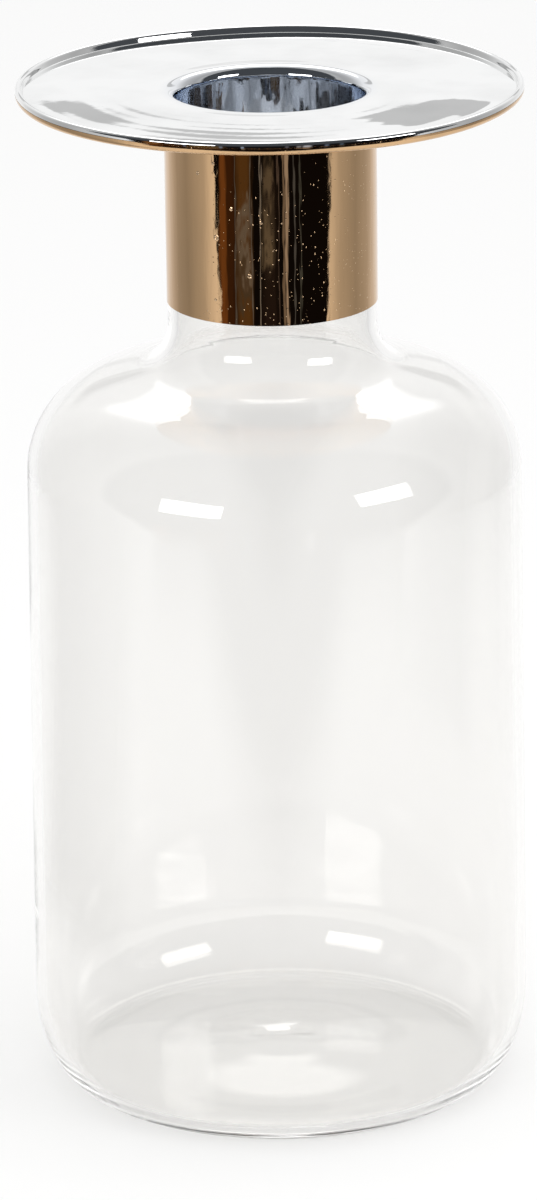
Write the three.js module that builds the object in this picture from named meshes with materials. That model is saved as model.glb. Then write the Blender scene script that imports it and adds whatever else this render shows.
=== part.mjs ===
// Glass bottle vase: clear blown glass with a rounded shoulder, a straight neck and a wide flat brim.
// The neck and brim are mirrored: silver on top and inside, copper underneath and outside.
// Millimetres, +Z up, the foot plane at z = 0 and the axis of the bottle on Z.
import * as THREE from 'three';

// Glass body, outside unless it says otherwise
const BODY_RADIUS = 74.6; // where the wall meets the shoulder
const BODY_FLARE = 1.5; // how much wider the wall is at the foot
const BODY_HEIGHT = 193; // foot plane to the start of the shoulder
const WALL = 3; // glass thickness of wall, shoulder and neck
const SHOULDER_ROUND = 30;
const SHOULDER_SLOPE_DEG = 15; // fall of the shoulder's straight part

// Foot and floor
const FOOT_ROUND = 14; // how far the wall curves in at the foot
const FOOT_HEIGHT = 28; // height over which it curves in
const KICK_RADIUS = 46; // hollow under the floor, inside the ring the vase stands on
const KICK_RISE = 2;
const PONTIL_RADIUS = 12; // ground disc in the middle of the hollow
const PONTIL_DEPTH = 0.1;
const FLOOR_THICKNESS = 4; // over the standing ring
const FLOOR_RISE = 1.5; // the floor's inside follows the hollow

// Neck and brim
const NECK_RADIUS = 31.3;
const NECK_ROUND = 14; // hollow curve from shoulder to neck
const NECK_LENGTH = 69.8; // from the top of that curve to the brim's underside
const BRIM_RADIUS = 75;
const BRIM_THICKNESS = 1.3;
const BRIM_ROUND = 3; // hollow curve from neck to the brim's underside
const LIP_HEIGHT = 3.3; // brim's underside to the top of the lip around its edge
const LIP_UNDER_ROUND = 1.65; // curve from the brim's underside to the lip's outside
const LIP_TOP_ROUND = 0.7;
const LIP_LEAN_DEG = 15; // how far the lip's inside leans from upright
const LIP_HOLLOW = 0.6; // hollow curve from the lip's inside to the brim's top
const THROAT_ROUND = 2.8; // curve from the brim's top into the neck

// Mirror coats
const COLLAR_LENGTH = 62.6; // how far the coats run down from the brim's underside
const COAT_THICKNESS = 0.25;
const COAT_GAP = 0.05; // between glass and coat
const COAT_MEET = 2; // where the coats meet on the lip's outside, above the brim's underside
const COAT_SEAM = 0.1; // bare strip of glass between the two coats

// Fineness of the round surfaces
const TURN_SEGMENTS = 48;
const ARC_STEP_DEG = 15; // longest step along an arc of the section
const DOME_STEPS = 6;

const radians = THREE.MathUtils.degToRad;
const shoulderEndDeg = 90 - SHOULDER_SLOPE_DEG;
const arcRise = Math.sin(radians(shoulderEndDeg));
const arcRun = 1 - Math.cos(radians(shoulderEndDeg));
const slopeRun = BODY_RADIUS - SHOULDER_ROUND * arcRun - NECK_RADIUS - NECK_ROUND * arcRun;
const slopeRise = slopeRun * Math.tan(radians(SHOULDER_SLOPE_DEG));
const footRadius = BODY_RADIUS + BODY_FLARE;
const boreRadius = NECK_RADIUS - WALL;
const neckFoot = BODY_HEIGHT + (SHOULDER_ROUND + NECK_ROUND) * arcRise + slopeRise;
const brimUnder = neckFoot + NECK_LENGTH;
const brimTop = brimUnder + BRIM_THICKNESS;
const lipTopCentre = brimUnder + LIP_HEIGHT - LIP_TOP_ROUND;
const collarFoot = brimUnder - COLLAR_LENGTH;

function at(radius, height) {
  return new THREE.Vector2(radius, height);
}

// Points along part of an ellipse in the plane of radius and height, angles in degrees.
function oval(centreRadius, centreHeight, wide, tall, fromDeg, toDeg) {
  const steps = Math.ceil(Math.abs(toDeg - fromDeg) / ARC_STEP_DEG);
  const points = [];
  for (let step = 0; step <= steps; step += 1) {
    const angle = radians(fromDeg + ((toDeg - fromDeg) * step) / steps);
    points.push(at(centreRadius + wide * Math.cos(angle), centreHeight + tall * Math.sin(angle)));
  }
  return points;
}

function arc(centreRadius, centreHeight, radius, fromDeg, toDeg) {
  return oval(centreRadius, centreHeight, radius, radius, fromDeg, toDeg);
}

// A low dome around the axis, level at its middle and its rim, from a hole's edge out to the rim.
function dome(baseHeight, rise, rimRadius, fromRadius) {
  const points = [];
  for (let step = 0; step <= DOME_STEPS; step += 1) {
    const radius = fromRadius + ((rimRadius - fromRadius) * step) / DOME_STEPS;
    points.push(at(radius, baseHeight + rise * (1 - (radius / rimRadius) ** 2) ** 2));
  }
  return points;
}

// Shoulder and the curve into the neck, at a depth below the glass's outside.
function shoulderPath(depth) {
  return [
    ...arc(BODY_RADIUS - SHOULDER_ROUND, BODY_HEIGHT, SHOULDER_ROUND - depth, 0, shoulderEndDeg),
    ...arc(NECK_RADIUS + NECK_ROUND, neckFoot, NECK_ROUND + depth, 180 + shoulderEndDeg, 180),
  ];
}

// Outside of the neck, underside of the brim and lower lip, at a height above the glass.
function underPath(height) {
  return [
    ...arc(NECK_RADIUS + BRIM_ROUND, brimUnder - BRIM_ROUND, BRIM_ROUND - height, 180, 90),
    ...arc(BRIM_RADIUS - LIP_UNDER_ROUND, brimUnder + LIP_UNDER_ROUND, LIP_UNDER_ROUND + height, -90, 0),
    at(BRIM_RADIUS + height, brimUnder + COAT_MEET),
  ];
}

// Upper lip, hollow beside it, top of the brim and the curve into the neck, at a height above the glass.
function topPath(height) {
  const lean = radians(LIP_LEAN_DEG);
  const reach = LIP_TOP_ROUND + LIP_HOLLOW;
  const hollowHeight = brimTop + LIP_HOLLOW;
  const face = (lipTopCentre + reach * Math.sin(lean) - hollowHeight) / Math.cos(lean);
  const lipTopRadius = BRIM_RADIUS - LIP_TOP_ROUND;
  const hollowRadius = lipTopRadius - reach * Math.cos(lean) - face * Math.sin(lean);
  const throatCentre = at(boreRadius + THROAT_ROUND, brimTop - THROAT_ROUND);
  return [
    at(BRIM_RADIUS + height, brimUnder + COAT_MEET + COAT_SEAM),
    ...arc(lipTopRadius, lipTopCentre, LIP_TOP_ROUND + height, 0, 180 - LIP_LEAN_DEG),
    ...arc(hollowRadius, hollowHeight, LIP_HOLLOW - height, -LIP_LEAN_DEG, -90),
    ...arc(throatCentre.x, throatCentre.y, THROAT_ROUND + height, 90, 180),
  ];
}

// A coat lies between two heights above the glass; its section closes on itself.
function coatSection(path) {
  const outside = path(COAT_GAP + COAT_THICKNESS);
  const inside = path(COAT_GAP).reverse();
  return [...outside, ...inside, outside[0]];
}

const copperSection = coatSection((height) => [
  at(NECK_RADIUS + height, collarFoot),
  ...underPath(height),
]);

const silverSection = coatSection((height) => [
  ...topPath(height),
  at(boreRadius - height, collarFoot),
]);

const footRim = footRadius - FOOT_ROUND;
const kickDome = dome(0, KICK_RISE, KICK_RADIUS, PONTIL_RADIUS);
const pontilTop = kickDome[0].y + PONTIL_DEPTH;
const glassSection = [
  at(0, pontilTop),
  at(PONTIL_RADIUS, pontilTop),
  ...kickDome,
  ...oval(footRim, FOOT_HEIGHT, FOOT_ROUND, FOOT_HEIGHT, -90, 0),
  ...shoulderPath(0),
  ...underPath(0),
  ...topPath(0),
  ...shoulderPath(WALL).reverse(),
  ...oval(footRim, FOOT_HEIGHT, FOOT_ROUND - WALL, FOOT_HEIGHT - FLOOR_THICKNESS, 0, -90),
  ...dome(FLOOR_THICKNESS, FLOOR_RISE, footRim, 0).reverse().slice(1),
];

function turned(name, section, look) {
  const geometry = new THREE.LatheGeometry(section, TURN_SEGMENTS);
  geometry.rotateX(Math.PI / 2);
  const mesh = new THREE.Mesh(geometry, new THREE.MeshStandardMaterial(look));
  mesh.name = name;
  return mesh;
}

const vase = new THREE.Group();
vase.name = 'glass_bottle_vase';
vase.add(
  turned('glass_bottle', glassSection, {
    color: 0xe4ecec,
    roughness: 0.05,
    transparent: true,
    opacity: 0.35,
  }),
  turned('silver_coat', silverSection, { color: 0xdfe0e0, metalness: 1, roughness: 0.08 }),
  turned('copper_coat', copperSection, { color: 0xc19a70, metalness: 1, roughness: 0.1 }),
);

export default vase;
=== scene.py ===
import math

import bmesh
import bpy
from bpy.props import FloatProperty, FloatVectorProperty, PointerProperty
from mathutils import Euler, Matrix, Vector, noise


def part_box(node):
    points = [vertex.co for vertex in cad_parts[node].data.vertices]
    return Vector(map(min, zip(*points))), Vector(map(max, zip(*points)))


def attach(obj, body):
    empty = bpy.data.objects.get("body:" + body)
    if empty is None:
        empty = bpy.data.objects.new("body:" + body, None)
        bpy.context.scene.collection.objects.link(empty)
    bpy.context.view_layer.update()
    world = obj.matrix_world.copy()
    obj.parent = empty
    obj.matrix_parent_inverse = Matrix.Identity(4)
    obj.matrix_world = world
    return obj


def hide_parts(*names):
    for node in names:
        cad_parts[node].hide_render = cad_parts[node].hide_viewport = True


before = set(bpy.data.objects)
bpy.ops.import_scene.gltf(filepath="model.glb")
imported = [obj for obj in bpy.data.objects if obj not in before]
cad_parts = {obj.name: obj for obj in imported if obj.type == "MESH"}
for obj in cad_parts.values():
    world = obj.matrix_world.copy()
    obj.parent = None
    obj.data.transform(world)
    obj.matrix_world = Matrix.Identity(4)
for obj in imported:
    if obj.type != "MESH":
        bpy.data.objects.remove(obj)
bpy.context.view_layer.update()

bl_info = {
    "name": "Glass bottle vase",
    "version": (1, 0, 0),
    "blender": (4, 5, 0),
    "location": "3D View > Sidebar > Vase",
    "description": "Clear blown bottle vase with a mirrored neck and brim, and the studio it stands in",
    "category": "Object",
}

GLASS_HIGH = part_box("glass_bottle")[1]
MM = 0.001

# Fineness of the meshes: steps along each curve, segments around, and the longest straight run
SHOULDER_STEPS = 18
NECK_STEPS = 14
BRIM_STEPS = 8
LIP_UNDER_STEPS = 12
LIP_TOP_STEPS = 20
LIP_HOLLOW_STEPS = 8
THROAT_STEPS = 14
FOOT_STEPS = 28
KICK_STEPS = 46
FLOOR_STEPS = 32
GLASS_SEGMENTS = 160
SILVER_SEGMENTS = 224
COPPER_SEGMENTS = 256
PLAIN_RUN = 4.0 * MM  # glass, and the face of a coat that lies on it
SILVER_RUN = 1.0 * MM
COPPER_RUN = 0.8 * MM
SHARP_FROM = math.radians(50)  # a steeper edge stays sharp in the shading
ON_AXIS = 1e-7  # a point with a smaller radius is on the axis


def length(name, millimetres, description):
    """A size in metres that a user can change, given here in millimetres."""
    return FloatProperty(
        name=name,
        description=description,
        default=millimetres * MM,
        min=0.0,
        precision=5,
        unit="LENGTH",
        subtype="DISTANCE",
    )


def turn_angle(name, degrees, description):
    """An angle that a user can change, given here in degrees."""
    return FloatProperty(
        name=name,
        description=description,
        default=math.radians(degrees),
        unit="ROTATION",
        subtype="ANGLE",
    )


def tint(name, red, green, blue, description):
    """A colour that a user can change."""
    return FloatVectorProperty(
        name=name,
        description=description,
        default=(red, green, blue),
        min=0.0,
        max=1.0,
        size=3,
        subtype="COLOR",
    )


class VaseGlassSizes(bpy.types.PropertyGroup):
    """Sizes and colour of the blown bottle, measured outside unless they say otherwise."""

    foot_radius: length("Foot radius", GLASS_HIGH.x / MM, "Widest radius of the wall, at the foot")
    body_radius: length("Body radius", 74.6, "Radius where the wall meets the shoulder")
    body_height: length("Body height", 193.0, "Foot plane to the start of the shoulder")
    wall: length("Wall", 3.0, "Glass thickness of wall, shoulder and neck")
    shoulder_round: length("Shoulder round", 30.0, "Radius of the shoulder's curve")
    shoulder_slope: turn_angle("Shoulder slope", 15.0, "Fall of the shoulder's straight part")
    foot_round: length("Foot round", 14.0, "How far the wall curves in at the foot")
    foot_height: length("Foot height", 28.0, "Height over which the wall curves in")
    kick_radius: length("Kick-up radius", 46.0, "Hollow under the floor, inside the standing ring")
    kick_rise: length("Kick-up rise", 2.0, "Height of that hollow")
    pontil_radius: length("Pontil radius", 12.0, "Ground disc in the middle of the hollow")
    pontil_depth: length("Pontil depth", 0.1, "How deep that disc is ground")
    floor_thickness: length("Floor thickness", 4.0, "Glass over the standing ring")
    floor_rise: length("Floor rise", 1.5, "How far the floor's inside rises to its middle")
    neck_radius: length("Neck radius", 31.3, "Radius of the straight neck")
    neck_round: length("Neck round", 14.0, "Hollow curve from shoulder to neck")
    neck_length: length("Neck length", 69.8, "From that curve to the brim's underside")
    brim_radius: length("Brim radius", 75.0, "Radius of the brim over its lip")
    brim_thickness: length("Brim thickness", 1.3, "Glass thickness of the brim")
    brim_round: length("Brim round", 3.0, "Hollow curve from neck to the brim's underside")
    lip_height: length("Lip height", 3.3, "The brim's underside to the top of the lip around its edge")
    lip_under_round: length("Lip under round", 1.65, "Curve from the brim's underside to the lip's outside")
    lip_top_round: length("Lip top round", 0.7, "Rounded top of the lip")
    lip_lean: turn_angle("Lip lean", 16.2, "How far the lip's inside leans from upright")
    lip_hollow: length("Lip hollow", 0.6, "Hollow curve from the lip's inside to the brim's top")
    throat_round: length("Throat round", 2.8, "Curve from the brim's top into the neck")
    ripple: length("Ripple", 0.06, "Height of the gentle waves that blowing leaves in the wall")
    floor_waves: length("Floor waves", 0.22, "Height of the uneven waves on the floor's inside")
    glass_colour: tint("Glass colour", 0.957, 0.952, 0.942, "Faint tint of the clear glass")


class VaseCoatSizes(bpy.types.PropertyGroup):
    """Sizes and colours of the two mirror coats, and the uneven forms that show in them."""

    collar_length: length("Collar length", 62.6, "How far the coats run down from the brim's underside")
    coat_thickness: length("Coat thickness", 0.25, "Thickness that a coat is drawn with")
    coat_gap: length("Coat gap", 0.05, "Clear gap between glass and coat")
    coat_meet: length("Coats meet", 2.0, "Where the coats meet on the lip, above the brim's underside")
    coat_seam: length("Coat seam", 0.1, "Bare strip of glass between the coats")
    cords: length("Cords", 0.042, "Height of the long cords in the mirrored neck")
    throat_cords: length("Throat cords", 0.07, "Height of the short cords inside the neck")
    warp: length("Warp", 0.45, "Height of the broad warps in the brim")
    swell: length("Swell", 0.022, "Height of the broad swells around the brim")
    swell_pitch: length("Swell pitch", 15.0, "Distance from swell to swell")
    sag: length("Sag", 0.5, "How far the brim's two sags fall")
    rings: length("Rings", 0.0055, "Height of the fine rings around the brim")
    ring_pitch: length("Ring pitch", 5.0, "Distance from ring to ring")
    silver_colour: tint("Silver colour", 0.90, 0.905, 0.905, "Colour of the mirror on the brim's top")
    copper_colour: tint("Copper colour", 0.66, 0.43, 0.235, "Colour of the mirror on the neck")


class VaseStage(bpy.types.PropertyGroup):
    """Camera, light and floor of the studio."""

    camera_distance: length("Camera distance", 1703.0, "From the vase's axis, along the floor")
    camera_height: length("Camera height", 716.5, "Above the floor")
    camera_pitch: turn_angle("Camera pitch", 18.39, "Down from the horizon")
    camera_yaw: turn_angle("Camera yaw", 0.08, "Turned to its left")
    camera_roll: turn_angle("Camera roll", -0.78, "About its own line of sight")
    camera_focal: FloatProperty(
        name="Focal length",
        description="Lens, for 36 mm along the picture's long side",
        default=177.1,
        unit="CAMERA",
    )
    room_light: FloatProperty(
        name="Room light",
        description="Soft light from all round on matt surfaces, stronger from the right",
        default=0.96,
        min=0.0,
    )
    softbox_light: FloatProperty(
        name="Softbox light",
        description="Power of each of the two softboxes, in watts",
        default=6.0,
        min=0.0,
        unit="POWER",
    )
    floor_colour: tint("Floor colour", 0.97, 0.97, 0.968, "Pale floor")


class VaseSettings(bpy.types.PropertyGroup):
    """All that a user would change."""

    glass: PointerProperty(type=VaseGlassSizes)
    coat: PointerProperty(type=VaseCoatSizes)
    stage: PointerProperty(type=VaseStage)


class Heights:
    """Heights and radii that follow from the sizes, as in the solids."""

    def __init__(self, glass, coat):
        end = math.pi / 2 - glass.shoulder_slope
        run = 1 - math.cos(end)
        rise = math.sin(end)
        slope_run = glass.body_radius - glass.neck_radius - (glass.shoulder_round + glass.neck_round) * run
        slope_rise = slope_run * math.tan(glass.shoulder_slope)
        self.shoulder_end = end
        self.bore = glass.neck_radius - glass.wall
        self.neck_foot = glass.body_height + (glass.shoulder_round + glass.neck_round) * rise + slope_rise
        self.brim_under = self.neck_foot + glass.neck_length
        self.brim_top = self.brim_under + glass.brim_thickness
        self.lip_centre = self.brim_under + glass.lip_height - glass.lip_top_round
        self.collar_foot = self.brim_under - coat.collar_length


def sizes():
    """The scene's own sizes of glass and coats, and the heights that follow from them."""
    vase = bpy.context.scene.bottle_vase
    return vase.glass, vase.coat, Heights(vase.glass, vase.coat)


def oval(centre_radius, centre_height, wide, tall, start, end, steps):
    """Points of a section along an ellipse with upright and level axes, with the angles in radians."""
    points = []
    for step in range(steps + 1):
        angle = start + (end - start) * step / steps
        points.append((centre_radius + wide * math.cos(angle), centre_height + tall * math.sin(angle)))
    return points


def arc(centre_radius, centre_height, radius, start, end, steps):
    """Points of a section along an arc, with the angles in radians."""
    return oval(centre_radius, centre_height, radius, radius, start, end, steps)


def dome(base, rise, rim, start, steps):
    """Points of a section over a low dome, level at its middle and its rim."""
    points = []
    for step in range(steps + 1):
        radius = start + (rim - start) * step / steps
        points.append((radius, base + rise * (1 - (radius / rim) ** 2) ** 2))
    return points


def filled(points, longest):
    """The same section with its long straight runs divided."""
    made = [points[0]]
    for (r0, z0), (r1, z1) in zip(points, points[1:]):
        count = max(1, math.ceil(math.hypot(r1 - r0, z1 - z0) / longest))
        for step in range(1, count + 1):
            share = step / count
            made.append((r0 + (r1 - r0) * share, z0 + (z1 - z0) * share))
    return made


def shoulder_path(glass, at, depth):
    """Shoulder and the curve into the neck, at a depth below the outside of the glass."""
    convex = arc(
        glass.body_radius - glass.shoulder_round,
        glass.body_height,
        glass.shoulder_round - depth,
        0.0,
        at.shoulder_end,
        SHOULDER_STEPS,
    )
    hollow = arc(
        glass.neck_radius + glass.neck_round,
        at.neck_foot,
        glass.neck_round + depth,
        math.pi + at.shoulder_end,
        math.pi,
        NECK_STEPS,
    )
    return convex + hollow


def under_path(glass, coat, at, height):
    """Outside of the neck, underside of the brim and lower lip, at a height above the glass."""
    curve = arc(
        glass.neck_radius + glass.brim_round,
        at.brim_under - glass.brim_round,
        glass.brim_round - height,
        math.pi,
        math.pi / 2,
        BRIM_STEPS,
    )
    lip = arc(
        glass.brim_radius - glass.lip_under_round,
        at.brim_under + glass.lip_under_round,
        glass.lip_under_round + height,
        -math.pi / 2,
        0.0,
        LIP_UNDER_STEPS,
    )
    return curve + lip + [(glass.brim_radius + height, at.brim_under + coat.coat_meet)]


def top_path(glass, coat, at, height):
    """Upper lip, hollow beside it, brim's top and the curve into the neck, at a height above the glass."""
    lean = glass.lip_lean
    reach = glass.lip_top_round + glass.lip_hollow
    hollow_height = at.brim_top + glass.lip_hollow
    face = (at.lip_centre + reach * math.sin(lean) - hollow_height) / math.cos(lean)
    lip_radius = glass.brim_radius - glass.lip_top_round
    hollow_radius = lip_radius - reach * math.cos(lean) - face * math.sin(lean)
    lip = [(glass.brim_radius + height, at.brim_under + coat.coat_meet + coat.coat_seam)]
    top_round = glass.lip_top_round + height
    lip += arc(lip_radius, at.lip_centre, top_round, 0.0, math.pi - lean, LIP_TOP_STEPS)
    hollow_round = glass.lip_hollow - height
    hollow = arc(hollow_radius, hollow_height, hollow_round, -lean, -math.pi / 2, LIP_HOLLOW_STEPS)
    throat = arc(
        at.bore + glass.throat_round,
        at.brim_top - glass.throat_round,
        glass.throat_round + height,
        math.pi / 2,
        math.pi,
        THROAT_STEPS,
    )
    return lip + hollow + throat


def turned(name, section, segments, shift, closed):
    """Turns a section about the axis into a closed mesh object; the shift moves each point out and up."""
    made = bmesh.new()
    rings = []
    last = len(section) - 1
    for index, (radius, height) in enumerate(section):
        if radius < ON_AXIS:
            rings.append([made.verts.new((0.0, 0.0, height))])
            continue
        before = section[index - 1 if index or closed else index]
        after = section[(index + 1) % len(section) if index < last or closed else index]
        along = Vector((after[0] - before[0], after[1] - before[1])).normalized()
        ring = []
        for step in range(segments):
            angle = 2 * math.pi * step / segments
            push, lift = shift(radius, height, angle, along)
            wide = radius + along.y * push
            tall = height - along.x * push + lift
            ring.append(made.verts.new((wide * math.cos(angle), wide * math.sin(angle), tall)))
        rings.append(ring)
    pairs = list(zip(rings, rings[1:]))
    if closed:
        pairs.append((rings[-1], rings[0]))
    for low, high in pairs:
        for step in range(segments):
            following = (step + 1) % segments
            if len(low) == 1:
                corners = (low[0], high[following], high[step])
            elif len(high) == 1:
                corners = (low[step], low[following], high[0])
            else:
                corners = (low[step], low[following], high[following], high[step])
            made.faces.new(corners)
    for face in made.faces:
        face.smooth = True
    mesh = bpy.data.meshes.new(name)
    made.to_mesh(mesh)
    made.free()
    mesh.set_sharp_from_angle(angle=SHARP_FROM)
    piece = bpy.data.objects.new(name, mesh)
    bpy.context.scene.collection.objects.link(piece)
    return piece


def eased(value, low, high):
    """0 below low, 1 above high and a smooth step between."""
    share = min(1.0, max(0.0, (value - low) / (high - low)))
    return share * share * (3 - 2 * share)


def on_circle(radius, angle, height=0.0):
    """A point on a circle about the axis, for the noise to read."""
    return Vector((radius * math.cos(angle), radius * math.sin(angle), height))


# Each sag of the brim: angle of its middle and half its width in degrees, the radii in millimetres
# where its fall starts and ends, and its share of the full depth
BRIM_SAGS = (
    (-41.0, 16.0, 45.0, 64.0, 1.0),
    (-148.0, 15.0, 52.0, 65.0, 0.28),
)
SAG_SOFT = 9.0  # degrees over which the sides of a sag ease, either way
SAG_WANDER = 4.0  # millimetres by which the start of its fall wanders

# Other forms of the brim: where they fade out beside the throat and the edge, and how they wander
THROAT_FADE = (-2.0 * MM, 4.0 * MM)
EDGE_FADE = (-7.0 * MM, -4.0 * MM)
BRIM_NOISE = 17.0  # cells to the metre
WARP_PLACE = Vector((5.83, 3.71, 1.3))  # where in the noise the warps are read
SWELL_CREST = 19.5 * MM  # from the edge in to the crest of a swell
SWELL_LEAST = 0.1  # share of its height that a swell keeps at the front and the back
SWELL_WANDER = 2.5  # radians
RING_WANDER = 3.0  # radians


def brim_lift(glass, coat, radius, angle):
    """How far the hand-made brim lies above its even plane: warps, swells, fine rings and sags."""
    inner = glass.neck_radius + glass.throat_round
    edge = glass.brim_radius
    inside = eased(radius, inner + THROAT_FADE[0], inner + THROAT_FADE[1])
    outside = 1.0 - eased(radius, edge + EDGE_FADE[0], edge + EDGE_FADE[1])
    spot = on_circle(radius, angle)
    warp = noise.noise(spot * BRIM_NOISE + WARP_PLACE)
    wander = noise.noise(spot * BRIM_NOISE)
    crest = edge - SWELL_CREST
    strength = SWELL_LEAST + (1.0 - SWELL_LEAST) * math.cos(angle) ** 2
    swell = strength * math.cos((radius - crest) * 2 * math.pi / coat.swell_pitch + SWELL_WANDER * wander)
    ring = math.sin((radius - inner) * 2 * math.pi / coat.ring_pitch + RING_WANDER * wander)
    sag = 0.0
    for middle, half, near, far, share in BRIM_SAGS:
        apart = abs(math.remainder(angle - math.radians(middle), 2 * math.pi))
        span = 1.0 - eased(apart, math.radians(half - SAG_SOFT), math.radians(half + SAG_SOFT))
        sag += share * span * eased(radius, (near + SAG_WANDER * wander) * MM, far * MM)
    local = coat.swell * swell + coat.rings * ring - coat.sag * sag
    return inside * (coat.warp * warp + outside * local)


def add_node(tree, kind, **values):
    """A new node; values name its properties, or its inputs by their socket names with underscores."""
    node = tree.nodes.new(kind)
    for key, value in values.items():
        if hasattr(node, key):
            setattr(node, key, value)
        else:
            node.inputs[key.replace("_", " ")].default_value = value
    return node


def maths(tree, operation, first, second=None):
    """A Math node over sockets or numbers; gives its output."""
    node = tree.nodes.new("ShaderNodeMath")
    node.operation = operation
    for socket, value in zip(node.inputs, (first, second)):
        if value is None:
            continue
        if isinstance(value, (int, float)):
            socket.default_value = value
        else:
            tree.links.new(value, socket)
    return node.outputs["Value"]


def spread(tree, value, low, high, to_low, to_high, curve="LINEAR"):
    """A clamped Map Range node; gives its output."""
    node = tree.nodes.new("ShaderNodeMapRange")
    node.interpolation_type = curve
    tree.links.new(value, node.inputs["Value"])
    node.inputs["From Min"].default_value = low
    node.inputs["From Max"].default_value = high
    node.inputs["To Min"].default_value = to_low
    node.inputs["To Max"].default_value = to_high
    return node.outputs["Result"]


def ramp_up(tree, value, low, high, curve="LINEAR"):
    """0 below low, 1 above high and a ramp between."""
    return spread(tree, value, low, high, 0.0, 1.0, curve)


def ramp_down(tree, value, low, high, curve="LINEAR"):
    """1 below low, 0 above high and a ramp between."""
    return spread(tree, value, low, high, 1.0, 0.0, curve)


def within(tree, value, low, high, soft):
    """1 between two values and 0 outside, with soft ends."""
    above = ramp_up(tree, value, low - soft, low + soft)
    below = ramp_down(tree, value, high - soft, high + soft)
    return maths(tree, "MULTIPLY", above, below)


def axes(tree, place):
    """The coordinates of a place along X, Y and Z."""
    split = tree.nodes.new("ShaderNodeSeparateXYZ")
    tree.links.new(place, split.inputs["Vector"])
    return tuple(split.outputs)


def from_axis(tree, x, y):
    """Distance from the vase's axis."""
    square = maths(tree, "ADD", maths(tree, "POWER", x, 2.0), maths(tree, "POWER", y, 2.0))
    return maths(tree, "SQRT", square)


def opaque(colour, share=1.0):
    """A colour for a socket, brought down to a share of itself."""
    return (*[part * share for part in colour], 1.0)


def grey(level):
    """A grey for a socket."""
    return (level, level, level, 1.0)


def blend_colour(tree, share, first, second):
    """A colour Mix node over sockets or colours; gives its output."""
    node = tree.nodes.new("ShaderNodeMix")
    node.data_type = "RGBA"
    for socket, value in zip((node.inputs[0], node.inputs[6], node.inputs[7]), (share, first, second)):
        if isinstance(value, bpy.types.NodeSocket):
            tree.links.new(value, socket)
        else:
            socket.default_value = value
    return node.outputs[2]


def blend_shader(tree, share, first, second):
    """A Mix Shader node; gives its output."""
    node = tree.nodes.new("ShaderNodeMixShader")
    for socket, value in zip(node.inputs, (share, first, second)):
        tree.links.new(value, socket)
    return node.outputs["Shader"]


def new_finish(name):
    """An empty material with its Principled shader and object coordinates."""
    material = bpy.data.materials.new(name)
    material.use_nodes = True
    tree = material.node_tree
    shader = tree.nodes["Principled BSDF"]
    place = tree.nodes.new("ShaderNodeTexCoord").outputs["Object"]
    return material, tree, shader, place


def cloud(tree, place, scale, detail=3.0, stretch=(1.0, 1.0, 1.0)):
    """A noise value over the object, with its own stretch along the axes."""
    mapping = tree.nodes.new("ShaderNodeMapping")
    mapping.inputs["Scale"].default_value = stretch
    tree.links.new(place, mapping.inputs["Vector"])
    texture = add_node(tree, "ShaderNodeTexNoise", Scale=scale, Detail=detail)
    tree.links.new(mapping.outputs["Vector"], texture.inputs["Vector"])
    return texture.outputs["Fac"]


def dots(tree, place, pitch, share, smallest, largest):
    """1 in the middle of scattered round dots and 0 around them; share is how many of the cells hold one."""
    cells = add_node(tree, "ShaderNodeTexVoronoi", Scale=1.0 / pitch)
    tree.links.new(place, cells.inputs["Vector"])
    split = tree.nodes.new("ShaderNodeSeparateColor")
    tree.links.new(cells.outputs["Color"], split.inputs["Color"])
    chosen = maths(tree, "LESS_THAN", split.outputs["Red"], share)
    size = spread(tree, split.outputs["Green"], 0.0, 1.0, smallest / pitch, largest / pitch)
    filled_share = maths(tree, "DIVIDE", cells.outputs["Distance"], size)
    return maths(tree, "MULTIPLY", chosen, ramp_down(tree, filled_share, 0.0, 1.0, "SMOOTHSTEP"))


def raise_surface(tree, shader, height, strength, distance):
    """Joins a height value to the shader as a bump."""
    bump = add_node(tree, "ShaderNodeBump", Strength=strength, Distance=distance)
    tree.links.new(height, bump.inputs["Height"])
    tree.links.new(bump.outputs["Normal"], shader.inputs["Normal"])


# Clear glass: what it lets through of lamp and floor light, faced and edge on
GLASS_INDEX = 1.5
FACED_SHADE = (0.97, 0.97, 0.967, 1.0)
EDGE_SHADE = grey(0.55)
EDGE_POWER = 4.0  # how late the edge's shade sets in
SEED_HEIGHT = 0.6  # share of the waves' height


def clear_glass(colour):
    """Clear blown glass with faint waves and a few seeds in its skin, which lets lamp light through."""
    material, tree, shader, place = new_finish("clear_blown_glass")
    shader.inputs["Base Color"].default_value = opaque(colour)
    shader.inputs["Roughness"].default_value = 0.0
    shader.inputs["IOR"].default_value = GLASS_INDEX
    shader.inputs["Transmission Weight"].default_value = 1.0
    waves = cloud(tree, place, scale=16.0, detail=2.0)
    seeds = dots(tree, place, pitch=22.0 * MM, share=0.10, smallest=0.25 * MM, largest=0.5 * MM)
    height = maths(tree, "ADD", waves, maths(tree, "MULTIPLY", seeds, SEED_HEIGHT))
    raise_surface(tree, shader, height, strength=0.04, distance=2.0 * MM)
    path = tree.nodes.new("ShaderNodeLightPath")
    edge_on = add_node(tree, "ShaderNodeLayerWeight", Blend=0.5).outputs["Facing"]
    shade = blend_colour(tree, maths(tree, "POWER", edge_on, EDGE_POWER), FACED_SHADE, EDGE_SHADE)
    lets_through = tree.nodes.new("ShaderNodeBsdfTransparent")
    tree.links.new(shade, lets_through.inputs["Color"])
    clear = lets_through.outputs["BSDF"]
    bounced = blend_shader(tree, path.outputs["Is Diffuse Ray"], shader.outputs["BSDF"], clear)
    surface = blend_shader(tree, path.outputs["Is Shadow Ray"], bounced, clear)
    tree.links.new(surface, tree.nodes["Material Output"].inputs["Surface"])
    return material


# Part of a noise's range over which a mirror goes from its least to its most roughness
ROUGH_SPAN = (0.3, 0.75)

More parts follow.
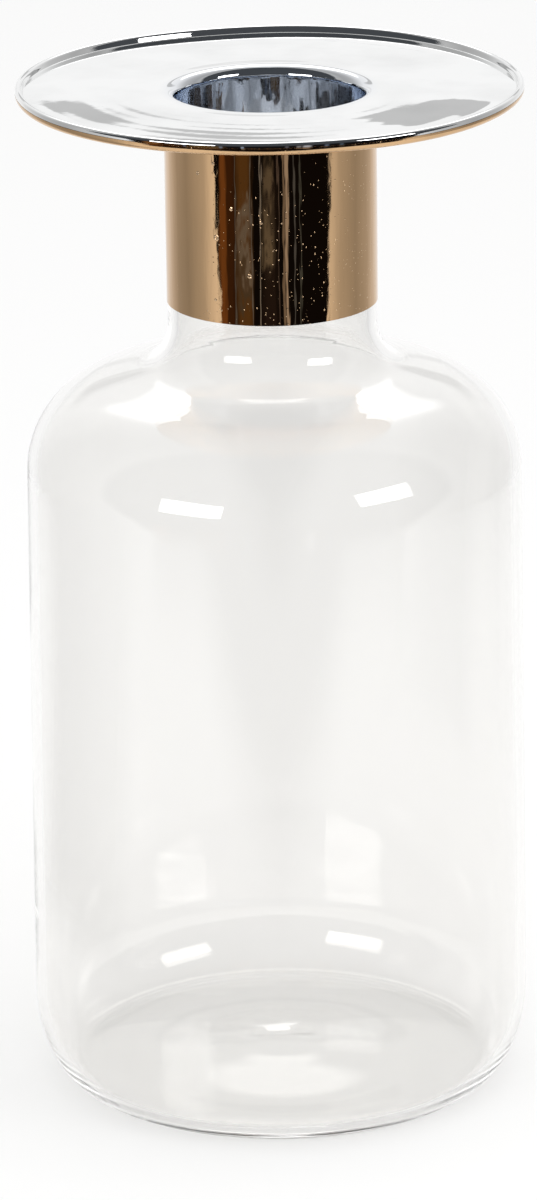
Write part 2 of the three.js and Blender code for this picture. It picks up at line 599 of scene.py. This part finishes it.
# Silver mirror
SILVER_ROUGH = (0.01, 0.05)
SILVER_HAZE = (0.4, 0.7)  # part of the noise's range over which haze sets in
SILVER_DULL = 0.90  # share of its colour that is left under haze
SILVER_SPECK = (0.35, 0.35, 0.36, 1.0)
SILVER_SPECK_ROUGH = 0.3  # added to the roughness
# Painted shade: inside the throat the silver is drawn in a darker, cooler grey
THROAT_PAINTED_SHADE = (0.80, 0.82, 0.85, 1.0)
THROAT_SHADE_ZONE = (29.0 * MM, 33.0 * MM)  # radii where the throat's painted shade gives way to the brim's colour


def silver_mirror(colour):
    """Silvered glass: a bright mirror with haze in patches, a few specks, and painted shade in the throat, a
    darker and cooler grey.
    """
    material, tree, shader, place = new_finish("silver_mirror")
    shader.inputs["Metallic"].default_value = 1.0
    haze = cloud(tree, place, scale=45.0)
    specks = dots(tree, place, pitch=5.0 * MM, share=0.12, smallest=0.15 * MM, largest=0.4 * MM)
    hazy = ramp_up(tree, haze, *SILVER_HAZE)
    shade = blend_colour(tree, hazy, opaque(colour), opaque(colour, SILVER_DULL))
    shade = blend_colour(tree, specks, shade, SILVER_SPECK)
    # Painted shade: the throat's colour is darker and bluer than the brim's
    x, y, _ = axes(tree, place)
    throat = ramp_down(tree, from_axis(tree, x, y), *THROAT_SHADE_ZONE)
    shade = blend_colour(tree, throat, shade, THROAT_PAINTED_SHADE)
    tree.links.new(shade, shader.inputs["Base Color"])
    rough = spread(tree, haze, *ROUGH_SPAN, *SILVER_ROUGH)
    rough = maths(tree, "ADD", rough, maths(tree, "MULTIPLY", specks, SILVER_SPECK_ROUGH))
    tree.links.new(rough, shader.inputs["Roughness"])
    fine = cloud(tree, place, scale=260.0, detail=2.0)
    raise_surface(tree, shader, fine, strength=0.02, distance=0.4 * MM)
    return material


# Copper mirror
COPPER_ROUGH = (0.012, 0.045)
COPPER_STREAK = (0.35, 0.7)  # part of the noise's range over which a streak sets in
COPPER_DULL = 0.88  # share of its colour that is left in streaks
CROWDED = (0.46, 0.6)  # part of the noise's range over which specks crowd together
CROWD_SIDES = (-10.0 * MM, 14.0 * MM)  # along X, from where they are fewer to where they are more
CROWD_SHIFT = (-0.06, 0.14)  # what these two sides add to the noise
BLISTER_RIM = (0.15, 0.4)  # how far in from its edge a blister's rim starts
BLISTER_HOLLOW = (0.45, 0.8)  # and where the rim ends
COPPER_FLAW = (0.6, 0.54, 0.46, 1.0)
COPPER_FLAW_SHARE = 0.5  # how far a flaw takes on that colour
COPPER_FLAW_ROUGH = 0.45  # added to the roughness
BLISTER_SHARE = 0.8  # a blister's rim against a speck
FINE_WAVE_HEIGHT = 0.25  # share of a flaw's height
LONG_STREAK = (1.0, 1.0, 0.25)  # noise drawn out along the neck
LONG_WAVE = (1.0, 1.0, 0.16)


def copper_mirror(colour):
    """Copper-coloured mirror coat with streaks, crowded specks and small ring-shaped blisters."""
    material, tree, shader, place = new_finish("copper_mirror")
    shader.inputs["Metallic"].default_value = 1.0
    streak = cloud(tree, place, scale=60.0, stretch=LONG_STREAK)
    shift = spread(tree, axes(tree, place)[0], *CROWD_SIDES, *CROWD_SHIFT)
    crowd = maths(tree, "ADD", cloud(tree, place, scale=38.0), shift)
    specks = dots(tree, place, pitch=1.2 * MM, share=0.8, smallest=0.1 * MM, largest=0.28 * MM)
    specks = maths(tree, "MULTIPLY", specks, ramp_up(tree, crowd, *CROWDED))
    blisters = dots(tree, place, pitch=9.0 * MM, share=0.8, smallest=0.6 * MM, largest=1.2 * MM)
    hollow = ramp_down(tree, blisters, *BLISTER_HOLLOW)
    rim = maths(tree, "MULTIPLY", ramp_up(tree, blisters, *BLISTER_RIM), hollow)
    flaws = maths(tree, "MAXIMUM", specks, maths(tree, "MULTIPLY", rim, BLISTER_SHARE))
    streaked = ramp_up(tree, streak, *COPPER_STREAK)
    shade = blend_colour(tree, streaked, opaque(colour), opaque(colour, COPPER_DULL))
    shade = blend_colour(tree, maths(tree, "MULTIPLY", flaws, COPPER_FLAW_SHARE), shade, COPPER_FLAW)
    tree.links.new(shade, shader.inputs["Base Color"])
    rough = spread(tree, streak, *ROUGH_SPAN, *COPPER_ROUGH)
    rough = maths(tree, "ADD", rough, maths(tree, "MULTIPLY", flaws, COPPER_FLAW_ROUGH))
    tree.links.new(rough, shader.inputs["Roughness"])
    waves = cloud(tree, place, scale=640.0, detail=1.0, stretch=LONG_WAVE)
    height = maths(tree, "ADD", flaws, maths(tree, "MULTIPLY", waves, FINE_WAVE_HEIGHT))
    raise_surface(tree, shader, height, strength=0.5, distance=0.2 * MM)
    return material


def finish_piece(piece, material, node):
    """Gives a piece its material, hangs it under the root body and hides the node of the solids that it
    stands for.
    """
    piece.data.materials.append(material)
    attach(piece, "root")
    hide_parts(node)


# Waves of the blown glass: noise cells to the metre, and the places in the noise where each is read
WALL_NOISE = 22.0
WALL_STRETCH = 0.5  # along the height
OUTSIDE_PLACE = Vector((0.0, 0.0, 3.0))
INSIDE_PLACE = Vector((7.0, 0.0, 3.0))
FLOOR_NOISE = 42.0
FLOOR_PLACE = Vector((0.0, 0.0, 8.0))
HEEL_FADE = (20.0 * MM, 40.0 * MM)  # heights between which the waves of the wall set in
COLLAR_FADE = 6.0 * MM  # height below the coats over which they die out
PONTIL_SOFT = 4.0 * MM  # half the width of the ground disc's soft edge


class VASE_OT_blow_glass(bpy.types.Operator):
    """Makes the clear bottle: floor, wall, shoulder, neck and brim in one piece of glass"""

    bl_idname = "vase.blow_glass"
    bl_label = "Blow the bottle"

    def execute(self, context):
        glass, coat, at = sizes()
        floor_rim = glass.foot_radius - glass.foot_round
        disc = glass.pontil_radius
        hollow = []
        for radius, height in dome(0.0, glass.kick_rise, glass.kick_radius, 0.0, KICK_STEPS):
            ground = 1 - eased(radius, disc - PONTIL_SOFT, disc + PONTIL_SOFT)
            hollow.append((radius, height + glass.pontil_depth * ground))
        foot = oval(
            floor_rim,
            glass.foot_height,
            glass.foot_round,
            glass.foot_height,
            -math.pi / 2,
            0.0,
            FOOT_STEPS,
        )
        corner = oval(
            floor_rim,
            glass.foot_height,
            glass.foot_round - glass.wall,
            glass.foot_height - glass.floor_thickness,
            0.0,
            -math.pi / 2,
            FOOT_STEPS,
        )
        floor = dome(glass.floor_thickness, glass.floor_rise, floor_rim, 0.0, FLOOR_STEPS)
        section = hollow + foot
        section += shoulder_path(glass, at, 0.0)
        section += under_path(glass, coat, at, 0.0)
        section += top_path(glass, coat, at, 0.0)
        section += shoulder_path(glass, at, glass.wall)[::-1]
        section += corner + floor[::-1][1:]
        section = filled(section, PLAIN_RUN)

        def blown(radius, height, angle, along):
            """Slow waves on wall and floor, none where the coats lie, and the brim's own forms."""
            fade = eased(height, *HEEL_FADE)
            fade *= 1 - eased(height, at.collar_foot - COLLAR_FADE, at.collar_foot)
            side = INSIDE_PLACE if along.y < 0 else OUTSIDE_PLACE
            wave = noise.noise(on_circle(radius, angle, height * WALL_STRETCH) * WALL_NOISE + side)
            lift = brim_lift(glass, coat, radius, angle) if height > at.collar_foot else 0.0
            on_floor = max(0.0, -along.x) if height < glass.foot_height else 0.0
            uneven = noise.noise(on_circle(radius, angle) * FLOOR_NOISE + FLOOR_PLACE)
            return glass.ripple * fade * wave + glass.floor_waves * on_floor * uneven, lift

        piece = turned("clear_bottle", section, GLASS_SEGMENTS, blown, False)
        finish_piece(piece, clear_glass(glass.glass_colour), "glass_bottle")
        return {"FINISHED"}


UPRIGHT = 0.5  # a section counts as upright where it climbs or falls by more than this share of its length
COAT_MIDDLE = 0.5  # share of a coat's thickness that parts its outer face from its inner one

# Cords inside the neck, and shorter knots on them: the noise is read on a circle, in cells to the metre
THROAT_CIRCLE = 0.09
THROAT_NOISE = 55.0
KNOT_CIRCLE = 0.05
KNOT_NOISE = 120.0
KNOT_STRETCH = 1.3  # along the height
KNOT_PLACE = Vector((2.0, 5.0, 0.0))
KNOT_SHARE = 0.5  # of a cord's height


class VASE_OT_silver_brim(bpy.types.Operator):
    """Makes the silver mirror coat on the brim's top and down the inside of the neck"""

    bl_idname = "vase.silver_brim"
    bl_label = "Silver the brim"

    def execute(self, context):
        glass, coat, at = sizes()

        def path(height):
            return top_path(glass, coat, at, height) + [(at.bore - height, at.collar_foot)]

        outside = filled(path(coat.coat_gap + coat.coat_thickness), SILVER_RUN)
        inside = filled(path(coat.coat_gap)[::-1], PLAIN_RUN)
        skin = at.bore - coat.coat_gap - COAT_MIDDLE * coat.coat_thickness

        def spun(radius, height, angle, along):
            """The brim's own forms, and the cords of the blown neck on the side that shows."""
            lift = brim_lift(glass, coat, radius, angle)
            if along.y > -UPRIGHT or radius > skin:
                return 0.0, lift
            cord = noise.noise(on_circle(THROAT_CIRCLE, angle, height) * THROAT_NOISE)
            spot = on_circle(KNOT_CIRCLE, angle, height * KNOT_STRETCH)
            knot = noise.noise(spot * KNOT_NOISE + KNOT_PLACE)
            return coat.throat_cords * (cord + KNOT_SHARE * knot), lift

        piece = turned("silver_mirror", outside + inside, SILVER_SEGMENTS, spun, True)
        finish_piece(piece, silver_mirror(coat.silver_colour), "silver_coat")
        return {"FINISHED"}


# Cords down the neck's outside: the noise's circle in cells, and its cells to the metre of height
CORD_CIRCLE = 6.5
CORD_NOISE = 42.0
BROAD_CIRCLE = 2.2
BROAD_NOISE = 14.0
BROAD_PLACE = Vector((5.0, 0.0, 0.0))
BROAD_SHARE = 0.8  # of a narrow cord's height
CORD_REACH = 2.0 * MM  # out from the neck, into the curve under the brim


class VASE_OT_copper_collar(bpy.types.Operator):
    """Makes the copper mirror coat on the outside of the neck and the underside of the brim"""

    bl_idname = "vase.copper_collar"
    bl_label = "Copper the collar"

    def execute(self, context):
        glass, coat, at = sizes()

        def path(height):
            return [(glass.neck_radius + height, at.collar_foot)] + under_path(glass, coat, at, height)

        outside = filled(path(coat.coat_gap + coat.coat_thickness), COPPER_RUN)
        inside = filled(path(coat.coat_gap)[::-1], PLAIN_RUN)
        skin = glass.neck_radius + coat.coat_gap + COAT_MIDDLE * coat.coat_thickness

        def corded(radius, height, angle, along):
            """Long cords down the neck, narrow ones over broad ones, and the brim's own forms."""
            lift = brim_lift(glass, coat, radius, angle)
            if along.y < UPRIGHT or radius < skin or radius > glass.neck_radius + CORD_REACH:
                return 0.0, lift
            cord = noise.noise(on_circle(CORD_CIRCLE, angle, height * CORD_NOISE))
            broad = noise.noise(on_circle(BROAD_CIRCLE, angle, height * BROAD_NOISE) + BROAD_PLACE)
            return coat.cords * (cord + BROAD_SHARE * broad), lift

        piece = turned("copper_mirror", outside + inside, COPPER_SEGMENTS, corded, True)
        finish_piece(piece, copper_mirror(coat.copper_colour), "copper_coat")
        return {"FINISHED"}


# Angles of the room are in degrees, with azimuths counted from the camera's side to the right.
# Lit room around the vase: azimuth and level
ROOM_LEVELS = (
    (-180, 1.0),
    (-150, 0.95),
    (-122, 0.5),
    (-104, 0.42),
    (-80, 0.6),
    (-62, 1.0),
    (62, 0.95),
    (80, 0.6),
    (104, 0.42),
    (125, 0.55),
    (150, 0.95),
    (180, 1.0),
)

# Each bar of the dark side: azimuth, half width, lowest and highest elevation, and colour
DARK_SIDE_BARS = (
    (-46.0, 8.0, -17.0, -9.0, (0.05, 0.022, 0.009)),
    (-54.5, 4.2, -17.0, -9.0, (0.19, 0.08, 0.024)),
    (-38.5, 0.8, -17.0, -9.0, (0.10, 0.12, 0.16)),
    (-29.4, 8.0, -17.0, -9.0, (0.11, 0.062, 0.022)),
    (-29.4, 7.5, -15.06, -14.74, (0.18, 0.18, 0.19)),
    (-29.4, 7.5, -15.36, -15.06, (0.08, 0.066, 0.05)),
    (-22.0, 0.7, -17.0, -9.0, (0.14, 0.15, 0.18)),
    (-12.4, 0.7, -17.0, -9.0, (0.24, 0.27, 0.33)),
    (-2.0, 8.0, -17.0, -14.5, (0.020, 0.015, 0.015)),
    (-3.8, 6.2, -14.78, -14.42, (0.18, 0.17, 0.15)),
    (7.3, 0.7, -17.0, -9.0, (0.10, 0.09, 0.10)),
    (12.6, 1.0, -17.0, -9.0, (0.22, 0.20, 0.19)),
    (16.2, 1.9, -17.0, -9.0, (0.43, 0.41, 0.42)),
    (25.0, 0.9, -17.0, -9.0, (0.09, 0.11, 0.15)),
    (32.0, 0.8, -17.0, -9.0, (0.07, 0.09, 0.11)),
)

BAR_CORE = 0.4  # share of its half width up to which a bar has its full colour
BAR_REACH = 1.4  # and where it ends
BAR_SOFT = 0.08  # softness of its lower and upper end

# Each band of the backdrop: lowest and highest elevation, softness of its ends, and level
BACKDROP_BANDS = (
    (5.5, 8.5, 0.3, 0.85),
    (15.2, 20.0, 0.3, 0.58),
    (31.5, 62.0, 2.0, 3.2),
)
BACKDROP_SIDES = (150.0, 165.0)  # azimuths, either way, over which the bands set in

# Dark side of the room: its colours low and high, its middle, and its ragged edge
DARK_LOW = (0.006, 0.005, 0.005, 1.0)
DARK_HIGH = (0.06, 0.065, 0.072, 1.0)
DARK_HEIGHTS = (-8.0, 6.0)
DARK_MIDDLE = 1.9
DARK_EDGE_SOFT = 0.6
# Half its width is the sum of two parts: lowest and highest elevation, and the width at each
DARK_HALF_WIDTHS = (
    (-15.7, -13.7, 60.0, 67.0),
    (-12.0, 4.0, 0.0, 23.0),
)
TOOTH_REACH = 36.0  # azimuth over which the edge's teeth may reach in and out together

# What light meets, by how often surfaces have sent it back
SENT_BACK = 0.5  # over this it was sent back at least once
GUIDED = 9.5  # over this it was led along inside the glass
GUIDED_LEVEL = 2.0
RIGHT_MORE = 0.5  # how much stronger the room's light is from the far right than from the middle
WHITE = grey(1.0)


def bearings(tree):
    """A ray's part along X, and its azimuth and elevation in degrees."""
    x, y, z = axes(tree, tree.nodes.new("ShaderNodeTexCoord").outputs["Generated"])
    azimuth = maths(tree, "ARCTAN2", x, maths(tree, "MULTIPLY", y, -1.0))
    elevation = maths(tree, "ARCSINE", z)
    degrees = 180.0 / math.pi
    return x, maths(tree, "MULTIPLY", azimuth, degrees), maths(tree, "MULTIPLY", elevation, degrees)


def lit_room(tree, azimuth, elevation):
    """The lit room: greys all around, and level bands on the backdrop."""
    around = tree.nodes.new("ShaderNodeValToRGB")
    tree.links.new(ramp_up(tree, azimuth, -180.0, 180.0), around.inputs["Fac"])
    while len(around.color_ramp.elements) < len(ROOM_LEVELS):
        around.color_ramp.elements.new(0.5)
    for element, (angle, level) in zip(around.color_ramp.elements, ROOM_LEVELS):
        element.position = (angle + 180) / 360
        element.color = grey(level)
    behind = ramp_up(tree, maths(tree, "ABSOLUTE", azimuth), *BACKDROP_SIDES)
    lit = around.outputs["Color"]
    for low, high, soft, level in BACKDROP_BANDS:
        band = maths(tree, "MULTIPLY", within(tree, elevation, low, high, soft), behind)
        lit = blend_colour(tree, band, lit, grey(level))
    return lit


def dark_side(tree, azimuth, elevation):
    """The dark side of the room, with upright bars in it."""
    dark = blend_colour(tree, ramp_up(tree, elevation, *DARK_HEIGHTS), DARK_LOW, DARK_HIGH)
    for middle, half, low, high, colour in DARK_SIDE_BARS:
        apart = maths(tree, "ABSOLUTE", maths(tree, "SUBTRACT", azimuth, middle))
        share = ramp_down(tree, apart, half * BAR_CORE, half * BAR_REACH, "SMOOTHSTEP")
        share = maths(tree, "MULTIPLY", share, within(tree, elevation, low, high, BAR_SOFT))
        dark = blend_colour(tree, share, dark, opaque(colour))
    return dark


def dark_extent(tree, azimuth, elevation):
    """1 on the dark side of the room and 0 elsewhere: wider higher up, with a ragged edge."""
    height_and_side = tree.nodes.new("ShaderNodeCombineXYZ")
    tree.links.new(elevation, height_and_side.inputs["X"])
    tree.links.new(maths(tree, "SIGN", azimuth), height_and_side.inputs["Y"])
    ragged = add_node(tree, "ShaderNodeTexNoise", Scale=4.0, Detail=6.0, Roughness=0.75)
    tree.links.new(height_and_side.outputs["Vector"], ragged.inputs["Vector"])
    tooth = maths(tree, "MULTIPLY", maths(tree, "SUBTRACT", ragged.outputs["Fac"], 0.5), TOOTH_REACH)
    off_centre = maths(tree, "ABSOLUTE", maths(tree, "SUBTRACT", azimuth, DARK_MIDDLE))
    off_centre = maths(tree, "ADD", off_centre, tooth)
    widths = [spread(tree, elevation, *part) for part in DARK_HALF_WIDTHS]
    past_edge = maths(tree, "SUBTRACT", off_centre, maths(tree, "ADD", *widths))
    return ramp_down(tree, past_edge, -DARK_EDGE_SOFT, DARK_EDGE_SOFT)


def studio_world(stage):
    """White studio. Light that a shiny surface sent back also meets the dark side of the room."""
    world = bpy.data.worlds.new("white_studio")
    world.use_nodes = True
    tree = world.node_tree
    tree.nodes.clear()
    x, azimuth, elevation = bearings(tree)
    lit = lit_room(tree, azimuth, elevation)
    dark = dark_side(tree, azimuth, elevation)
    seen = blend_colour(tree, dark_extent(tree, azimuth, elevation), lit, dark)

    path = tree.nodes.new("ShaderNodeLightPath")
    through_glass = path.outputs["Is Transmission Ray"]
    straight = maths(tree, "LESS_THAN", path.outputs["Glossy Depth"], SENT_BACK)
    seen = blend_colour(tree, maths(tree, "MULTIPLY", straight, through_glass), seen, lit)
    guided = maths(tree, "GREATER_THAN", path.outputs["Glossy Depth"], GUIDED)
    seen = blend_colour(tree, maths(tree, "MULTIPLY", guided, through_glass), seen, grey(GUIDED_LEVEL))
    from_right = maths(tree, "ADD", 1.0, maths(tree, "MULTIPLY", x, RIGHT_MORE))
    light = maths(tree, "MULTIPLY", from_right, stage.room_light)
    shown = blend_colour(tree, path.outputs["Is Camera Ray"], light, WHITE)
    shown = blend_colour(tree, path.outputs["Is Glossy Ray"], shown, seen)
    background = tree.nodes.new("ShaderNodeBackground")
    tree.links.new(shown, background.inputs["Color"])
    out = tree.nodes.new("ShaderNodeOutputWorld")
    tree.links.new(background.outputs["Background"], out.inputs["Surface"])
    bpy.context.scene.world = world


# Each softbox: name, azimuth and elevation in degrees, width and height in metres
SOFTBOXES = (
    ("softbox_left", -39.0, 12.0, 0.88, 0.42),
    ("softbox_right", 53.0, 19.0, 0.78, 0.42),
)
SOFTBOX_DISTANCE = 1.7
SOFTBOX_AIM = Vector((0.0, 0.0, 0.2))


def softbox(name, azimuth, elevation, width, height, power):
    """A rectangular lamp that faces the vase and that the camera doesn't see, with the angles in degrees."""
    lamp = bpy.data.lights.new(name, "AREA")
    lamp.shape = "RECTANGLE"
    lamp.size = width
    lamp.size_y = height
    lamp.energy = power
    holder = bpy.data.objects.new(name, lamp)
    turn = math.radians(azimuth)
    climb = math.radians(elevation)
    flat = math.cos(climb) * SOFTBOX_DISTANCE
    place = Vector((math.sin(turn) * flat, -math.cos(turn) * flat, math.sin(climb) * SOFTBOX_DISTANCE))
    holder.location = SOFTBOX_AIM + place
    holder.rotation_euler = (-place).to_track_quat("-Z", "Y").to_euler()
    holder.visible_camera = False
    bpy.context.scene.collection.objects.link(holder)


# Studio floor: half its side in metres, its drop below the foot, and its colour's share in darker patches
STUDIO_HALF = 6.0
STUDIO_DROP = 0.2 * MM
STUDIO_DIM = 0.995

# Part of the floor that is mirrored: metres from the axis, and radians from the camera's side to the left
MIRRORED_ALWAYS = (0.16, 0.26)
MIRRORED_REACH = (0.5, 0.85)
FRONT_CUT = (0.22, 0.46)
FRONT_CUT_SLANT = 0.75  # metres that the cut moves forward for each metre aside
LEFT_GAP_START = (1.05, 1.4)
LEFT_GAP_END = (1.9, 2.4)


def mirrored_floor(tree, place):
    """1 where the floor is mirrored: near the vase, less a cut in front of it and a gap to its left."""
    x, y, _ = axes(tree, place)
    aside = maths(tree, "ABSOLUTE", x)
    ahead = maths(tree, "MULTIPLY", y, -1.0)
    away = from_axis(tree, aside, ahead)
    cut = maths(tree, "SUBTRACT", ahead, maths(tree, "MULTIPLY", aside, FRONT_CUT_SLANT))
    mirrored = ramp_down(tree, cut, *FRONT_CUT, "SMOOTHSTEP")
    mirrored = maths(tree, "MULTIPLY", mirrored, ramp_down(tree, away, *MIRRORED_REACH, "SMOOTHSTEP"))
    to_left = maths(tree, "ARCTAN2", maths(tree, "MULTIPLY", x, -1.0), ahead)
    gap = ramp_up(tree, to_left, *LEFT_GAP_START, "SMOOTHSTEP")
    gap = maths(tree, "MULTIPLY", gap, ramp_down(tree, to_left, *LEFT_GAP_END, "SMOOTHSTEP"))
    mirrored = maths(tree, "MULTIPLY", mirrored, maths(tree, "SUBTRACT", 1.0, gap))
    return maths(tree, "MAXIMUM", mirrored, ramp_down(tree, away, *MIRRORED_ALWAYS, "SMOOTHSTEP"))


def pale_floor(stage):
    """Matt white table top. Light that a shiny surface sent back meets only the mirrored part of it."""
    material, tree, shader, place = new_finish("pale_floor")
    grain = cloud(tree, place, scale=3.0)
    colour = stage.floor_colour
    shade = blend_colour(tree, grain, opaque(colour), opaque(colour, STUDIO_DIM))
    tree.links.new(shade, shader.inputs["Base Color"])
    shader.inputs["Roughness"].default_value = 0.9
    shader.inputs["Specular IOR Level"].default_value = 0.0
    path = tree.nodes.new("ShaderNodeLightPath")
    sent_back = maths(tree, "GREATER_THAN", path.outputs["Glossy Depth"], SENT_BACK)
    sent_back = maths(tree, "MULTIPLY", sent_back, path.outputs["Is Glossy Ray"])
    unseen = maths(tree, "SUBTRACT", 1.0, mirrored_floor(tree, place))
    missing = maths(tree, "MULTIPLY", sent_back, unseen)
    clear = tree.nodes.new("ShaderNodeBsdfTransparent").outputs["BSDF"]
    surface = blend_shader(tree, missing, shader.outputs["BSDF"], clear)
    tree.links.new(surface, tree.nodes["Material Output"].inputs["Surface"])
    return material


def lay_floor(scene, stage):
    """A square sheet just under the foot."""
    sheet = bpy.data.meshes.new("floor")
    square = ((-1, -1), (1, -1), (1, 1), (-1, 1))
    corners = [(x * STUDIO_HALF, y * STUDIO_HALF, -STUDIO_DROP) for x, y in square]
    sheet.from_pydata(corners, [], [(0, 1, 2, 3)])
    floor = bpy.data.objects.new("floor", sheet)
    scene.collection.objects.link(floor)
    sheet.materials.append(pale_floor(stage))


# Camera: sensor along the picture's long side in millimetres, and nearest and furthest sight in metres
SENSOR = 36.0
CAMERA_CLIP = (0.05, 60.0)


def place_camera(scene, stage):
    """The camera at the photograph's viewing angle."""
    lens = bpy.data.cameras.new("camera")
    lens.lens = stage.camera_focal
    lens.sensor_width = SENSOR
    lens.clip_start, lens.clip_end = CAMERA_CLIP
    camera = bpy.data.objects.new("camera", lens)
    camera.location = (0.0, -stage.camera_distance, stage.camera_height)
    aim = Euler((math.pi / 2 - stage.camera_pitch, 0.0, stage.camera_yaw), "XYZ").to_matrix()
    roll = Euler((0.0, 0.0, stage.camera_roll), "XYZ").to_matrix()
    camera.rotation_euler = (aim @ roll).to_euler("XYZ")
    scene.collection.objects.link(camera)
    scene.camera = camera


# Bounces that light needs to cross the base's glass and the mirrored neck
MAX_BOUNCES = 128
GLOSSY_BOUNCES = 96
TRANSMISSION_BOUNCES = 32


class VASE_OT_set_stage(bpy.types.Operator):
    """Sets the floor, the studio's light and the camera"""

    bl_idname = "vase.set_stage"
    bl_label = "Set the stage"

    def execute(self, context):
        scene = context.scene
        stage = scene.bottle_vase.stage
        scene.view_settings.view_transform = "Standard"
        scene.cycles.max_bounces = MAX_BOUNCES
        scene.cycles.glossy_bounces = GLOSSY_BOUNCES
        scene.cycles.transmission_bounces = TRANSMISSION_BOUNCES
        lay_floor(scene, stage)
        studio_world(stage)
        for box in SOFTBOXES:
            softbox(*box, stage.softbox_light)
        place_camera(scene, stage)
        return {"FINISHED"}


class VASE_PT_sidebar(bpy.types.Panel):
    """Lists the vase's steps and its sizes"""

    bl_idname = "VASE_PT_sidebar"
    bl_label = "Glass bottle vase"
    bl_space_type = "VIEW_3D"
    bl_region_type = "UI"
    bl_category = "Vase"

    def draw(self, context):
        for step in STEPS:
            self.layout.operator(step.bl_idname)
        vase = context.scene.bottle_vase
        for group in (vase.glass, vase.coat, vase.stage):
            box = self.layout.box()
            for key in group.__annotations__:
                box.prop(group, key)


STEPS = (VASE_OT_blow_glass, VASE_OT_silver_brim, VASE_OT_copper_collar, VASE_OT_set_stage)
CLASSES = (VaseGlassSizes, VaseCoatSizes, VaseStage, VaseSettings, *STEPS, VASE_PT_sidebar)


def register():
    """Makes the classes and the scene's own values known to Blender."""
    for kind in CLASSES:
        bpy.utils.register_class(kind)
    bpy.types.Scene.bottle_vase = PointerProperty(type=VaseSettings)


def unregister():
    """Takes them away again."""
    del bpy.types.Scene.bottle_vase
    for kind in reversed(CLASSES):
        bpy.utils.unregister_class(kind)


def main():
    """Builds the vase and its stage."""
    register()
    bpy.ops.vase.blow_glass()
    bpy.ops.vase.silver_brim()
    bpy.ops.vase.copper_collar()
    bpy.ops.vase.set_stage()


if __name__ == "__main__":
    main()
